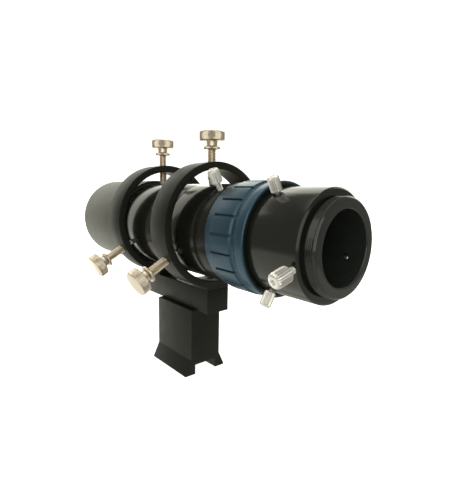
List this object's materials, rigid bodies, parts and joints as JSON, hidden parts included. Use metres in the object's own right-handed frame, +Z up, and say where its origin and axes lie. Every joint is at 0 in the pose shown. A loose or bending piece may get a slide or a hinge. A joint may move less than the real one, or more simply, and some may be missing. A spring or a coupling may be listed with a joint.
{
  "type": "finder scope",
  "caption": "Small straight refracting finder scope with a helical focuser, held by two three-screw alignment rings on a tall dovetail post.",
  "frame": {"origin": "centre of the dovetail foot's underside", "axes": "+Y along the optical axis towards the sky, +Z up from the foot, +X to the right as seen by someone looking through the scope"},
  "size_m": [0.103, 0.2082, 0.1423],
  "materials": {
    "black_anodise": "black anodised, satin to gloss",
    "blue_anodise": "slate blue anodised, satin",
    "nickel": "warm nickel plated, knurled",
    "chrome": "bright chrome plated, knurled",
    "nylon": "natural nylon",
    "brass": "machined",
    "black_steel": "black oxide",
    "matt_black": "matt black paint against stray light",
    "crown_glass": "polished, green-blue coating",
    "flint_glass": "polished"
  },
  "bodies": {
    "bracket": {"dovetail_post": "black_anodise", "bracket_block": "black_anodise", "front_ring": "black_anodise", "rear_ring": "black_anodise", "front_ring_bolt": "black_steel", "rear_ring_bolt": "black_steel", "front_post_bolt": "black_steel", "rear_post_bolt": "black_steel"},
    "scope": {"main_tube": "black_anodise", "dew_shield": "black_anodise", "objective_cell": "black_anodise", "crown_lens": "crown_glass", "flint_lens": "flint_glass", "lens_spacer": "matt_black", "lens_retainer": "matt_black", "front_baffle": "matt_black", "rear_baffle": "matt_black", "focuser_body": "black_anodise", "ring_catch": "black_anodise", "guide_key": "brass"},
    "focuser_grip": {"focus_ring": "blue_anodise", "helical_nut": "brass", "end_cap": "black_anodise"},
    "draw": {"draw_tube": "black_anodise"},
    "adapter": {"adapter_barrel": "black_anodise", "eyepiece_holder": "black_anodise"},
    "front_top_screw_tip_body": {"front_top_screw_tip": "nylon"},
    "front_top_screw_body": {"front_top_screw": "nickel"},
    "front_top_nut_body": {"front_top_nut": "nickel"},
    "front_left_screw_tip_body": {"front_left_screw_tip": "nylon"},
    "front_left_screw_body": {"front_left_screw": "nickel"},
    "front_left_nut_body": {"front_left_nut": "nickel"},
    "front_right_screw_tip_body": {"front_right_screw_tip": "nylon"},
    "front_right_screw_body": {"front_right_screw": "nickel"},
    "front_right_nut_body": {"front_right_nut": "nickel"},
    "rear_top_screw_tip_body": {"rear_top_screw_tip": "nylon"},
    "rear_top_screw_body": {"rear_top_screw": "nickel"},
    "rear_top_nut_body": {"rear_top_nut": "nickel"},
    "rear_left_screw_tip_body": {"rear_left_screw_tip": "nylon"},
    "rear_left_screw_body": {"rear_left_screw": "nickel"},
    "rear_left_nut_body": {"rear_left_nut": "nickel"},
    "rear_right_screw_tip_body": {"rear_right_screw_tip": "nylon"},
    "rear_right_screw_body": {"rear_right_screw": "nickel"},
    "rear_right_nut_body": {"rear_right_nut": "nickel"},
    "upper_adapter_screw_tip_body": {"upper_adapter_screw_tip": "chrome"},
    "upper_adapter_screw_body": {"upper_adapter_screw": "chrome"},
    "lower_adapter_screw_tip_body": {"lower_adapter_screw_tip": "chrome"},
    "lower_adapter_screw_body": {"lower_adapter_screw": "chrome"},
    "right_adapter_screw_tip_body": {"right_adapter_screw_tip": "chrome"},
    "right_adapter_screw_body": {"right_adapter_screw": "chrome"},
    "eyepiece_screw_tip_body": {"eyepiece_screw_tip": "chrome"},
    "eyepiece_screw_body": {"eyepiece_screw": "chrome"},
    "far_eyepiece_screw_tip_body": {"far_eyepiece_screw_tip": "chrome"},
    "far_eyepiece_screw_body": {"far_eyepiece_screw": "chrome"},
    "focus_lock_screw_tip_body": {"focus_lock_screw_tip": "chrome"},
    "focus_lock_screw_body": {"focus_lock_screw": "chrome"}
  },
  "joints": [
    {"name": "tube_slide", "type": "slide", "parent": "bracket", "child": "scope", "axis": [0, 1, 0], "range_m": [-0.0008, 0.0126]},
    {"name": "focus_turn", "type": "hinge", "parent": "scope", "child": "focuser_grip", "pos_m": [0, -0.0645, 0.0877], "axis": [0, -1, 0], "range_deg": [0, 360]},
    {"name": "draw_travel", "type": "slide", "parent": "scope", "child": "draw", "axis": [0, -1, 0], "range_m": [0, 0.012]},
    {"name": "adapter_turn", "type": "hinge", "parent": "draw", "child": "adapter", "pos_m": [0, -0.0885, 0.0877], "axis": [0, -1, 0], "continuous": true},
    {"name": "front_top_screw_advance", "type": "slide", "parent": "bracket", "child": "front_top_screw_tip_body", "axis": [0, 0, -1], "range_m": [-0.004, 0]},
    {"name": "front_top_screw_turn", "type": "hinge", "parent": "front_top_screw_tip_body", "child": "front_top_screw_body", "pos_m": [0, 0.02945, 0.11385], "axis": [0, 0, -1], "range_deg": [-1800, 0]},
    {"name": "front_top_nut_run", "type": "slide", "parent": "front_top_screw_body", "child": "front_top_nut_body", "axis": [0, 0, -1], "range_m": [0, 0.00645]},
    {"name": "front_left_screw_advance", "type": "slide", "parent": "bracket", "child": "front_left_screw_tip_body", "axis": [0.866, 0, 0.5], "range_m": [-0.004, 0]},
    {"name": "front_left_screw_turn", "type": "hinge", "parent": "front_left_screw_tip_body", "child": "front_left_screw_body", "pos_m": [-0.02385, 0.02945, 0.07673], "axis": [0.866, 0, 0.5], "range_deg": [-1800, 0]},
    {"name": "front_left_nut_run", "type": "slide", "parent": "front_left_screw_body", "child": "front_left_nut_body", "axis": [0.866, 0, 0.5], "range_m": [0, 0.01064]},
    {"name": "front_right_screw_advance", "type": "slide", "parent": "bracket", "child": "front_right_screw_tip_body", "axis": [-0.866, 0, 0.5], "range_m": [-0.004, 0]},
    {"name": "front_right_screw_turn", "type": "hinge", "parent": "front_right_screw_tip_body", "child": "front_right_screw_body", "pos_m": [0.02385, 0.02945, 0.07673], "axis": [-0.866, 0, 0.5], "range_deg": [-1800, 0]},
    {"name": "front_right_nut_run", "type": "slide", "parent": "front_right_screw_body", "child": "front_right_nut_body", "axis": [-0.866, 0, 0.5], "range_m": [0, 0.01064]},
    {"name": "rear_top_screw_advance", "type": "slide", "parent": "bracket", "child": "rear_top_screw_tip_body", "axis": [0, 0, -1], "range_m": [-0.004, 0]},
    {"name": "rear_top_screw_turn", "type": "hinge", "parent": "rear_top_screw_tip_body", "child": "rear_top_screw_body", "pos_m": [0, -0.02285, 0.11385], "axis": [0, 0, -1], "range_deg": [-1800, 0]},
    {"name": "rear_top_nut_run", "type": "slide", "parent": "rear_top_screw_body", "child": "rear_top_nut_body", "axis": [0, 0, -1], "range_m": [0, 0.00645]},
    {"name": "rear_left_screw_advance", "type": "slide", "parent": "bracket", "child": "rear_left_screw_tip_body", "axis": [0.866, 0, 0.5], "range_m": [-0.004, 0]},
    {"name": "rear_left_screw_turn", "type": "hinge", "parent": "rear_left_screw_tip_body", "child": "rear_left_screw_body", "pos_m": [-0.02385, -0.02285, 0.07673], "axis": [0.866, 0, 0.5], "range_deg": [-1800, 0]},
    {"name": "rear_left_nut_run", "type": "slide", "parent": "rear_left_screw_body", "child": "rear_left_nut_body", "axis": [0.866, 0, 0.5], "range_m": [0, 0.01064]},
    {"name": "rear_right_screw_advance", "type": "slide", "parent": "bracket", "child": "rear_right_screw_tip_body", "axis": [-0.866, 0, 0.5], "range_m": [-0.004, 0]},
    {"name": "rear_right_screw_turn", "type": "hinge", "parent": "rear_right_screw_tip_body", "child": "rear_right_screw_body", "pos_m": [0.02385, -0.02285, 0.07673], "axis": [-0.866, 0, 0.5], "range_deg": [-1800, 0]},
    {"name": "rear_right_nut_run", "type": "slide", "parent": "rear_right_screw_body", "child": "rear_right_nut_body", "axis": [-0.866, 0, 0.5], "range_m": [0, 0.01064]},
    {"name": "upper_adapter_screw_advance", "type": "slide", "parent": "adapter", "child": "upper_adapter_screw_tip_body", "axis": [0.4695, 0, -0.8829], "range_m": [-0.002, 0]},
    {"name": "upper_adapter_screw_turn", "type": "hinge", "parent": "upper_adapter_screw_tip_body", "child": "upper_adapter_screw_body", "pos_m": [-0.01021, -0.0826, 0.1069], "axis": [0.4695, 0, -0.8829], "range_deg": [-1440, 0]},
    {"name": "lower_adapter_screw_advance", "type": "slide", "parent": "adapter", "child": "lower_adapter_screw_tip_body", "axis": [0.5299, 0, 0.848], "range_m": [-0.002, 0]},
    {"name": "lower_adapter_screw_turn", "type": "hinge", "parent": "lower_adapter_screw_tip_body", "child": "lower_adapter_screw_body", "pos_m": [-0.01153, -0.0826, 0.06925], "axis": [0.5299, 0, 0.848], "range_deg": [-1440, 0]},
    {"name": "right_adapter_screw_advance", "type": "slide", "parent": "adapter", "child": "right_adapter_screw_tip_body", "axis": [-0.9994, 0, 0.0349], "range_m": [-0.002, 0]},
    {"name": "right_adapter_screw_turn", "type": "hinge", "parent": "right_adapter_screw_tip_body", "child": "right_adapter_screw_body", "pos_m": [0.02174, -0.0826, 0.08694], "axis": [-0.9994, 0, 0.0349], "range_deg": [-1440, 0]},
    {"name": "eyepiece_screw_advance", "type": "slide", "parent": "adapter", "child": "eyepiece_screw_tip_body", "axis": [0.9588, 0, 0.284], "range_m": [-0.004, 0.0029]},
    {"name": "eyepiece_screw_turn", "type": "hinge", "parent": "eyepiece_screw_tip_body", "child": "eyepiece_screw_body", "pos_m": [-0.01572, -0.1026, 0.08304], "axis": [0.9588, 0, 0.284], "range_deg": [-2880, 2088]},
    {"name": "far_eyepiece_screw_advance", "type": "slide", "parent": "adapter", "child": "far_eyepiece_screw_tip_body", "axis": [-0.9272, 0, 0.3746], "range_m": [-0.004, 0.0007]},
    {"name": "far_eyepiece_screw_turn", "type": "hinge", "parent": "far_eyepiece_screw_tip_body", "child": "far_eyepiece_screw_body", "pos_m": [0.01521, -0.1008, 0.08156], "axis": [-0.9272, 0, 0.3746], "range_deg": [-2880, 504]},
    {"name": "focus_lock_screw_advance", "type": "slide", "parent": "scope", "child": "focus_lock_screw_tip_body", "axis": [0.4848, 0, -0.8746], "range_m": [-0.002, 0]},
    {"name": "focus_lock_screw_turn", "type": "hinge", "parent": "focus_lock_screw_tip_body", "child": "focus_lock_screw_body", "pos_m": [-0.01098, -0.0459, 0.10751], "axis": [0.4848, 0, -0.8746], "range_deg": [-1440, 0]}
  ],
  "couplings": [
    {"joint": "draw_travel", "follows": "focus_turn", "m_per_rad": 0.0019099},
    {"joint": "front_top_screw_turn", "follows": "front_top_screw_advance", "rad_per_m": 7854},
    {"joint": "front_left_screw_turn", "follows": "front_left_screw_advance", "rad_per_m": 7854},
    {"joint": "front_right_screw_turn", "follows": "front_right_screw_advance", "rad_per_m": 7854},
    {"joint": "rear_top_screw_turn", "follows": "rear_top_screw_advance", "rad_per_m": 7854},
    {"joint": "rear_left_screw_turn", "follows": "rear_left_screw_advance", "rad_per_m": 7854},
    {"joint": "rear_right_screw_turn", "follows": "rear_right_screw_advance", "rad_per_m": 7854},
    {"joint": "upper_adapter_screw_turn", "follows": "upper_adapter_screw_advance", "rad_per_m": 12566},
    {"joint": "lower_adapter_screw_turn", "follows": "lower_adapter_screw_advance", "rad_per_m": 12566},
    {"joint": "right_adapter_screw_turn", "follows": "right_adapter_screw_advance", "rad_per_m": 12566},
    {"joint": "eyepiece_screw_turn", "follows": "eyepiece_screw_advance", "rad_per_m": 12566},
    {"joint": "far_eyepiece_screw_turn", "follows": "far_eyepiece_screw_advance", "rad_per_m": 12566},
    {"joint": "focus_lock_screw_turn", "follows": "focus_lock_screw_advance", "rad_per_m": 12566}
  ]
}
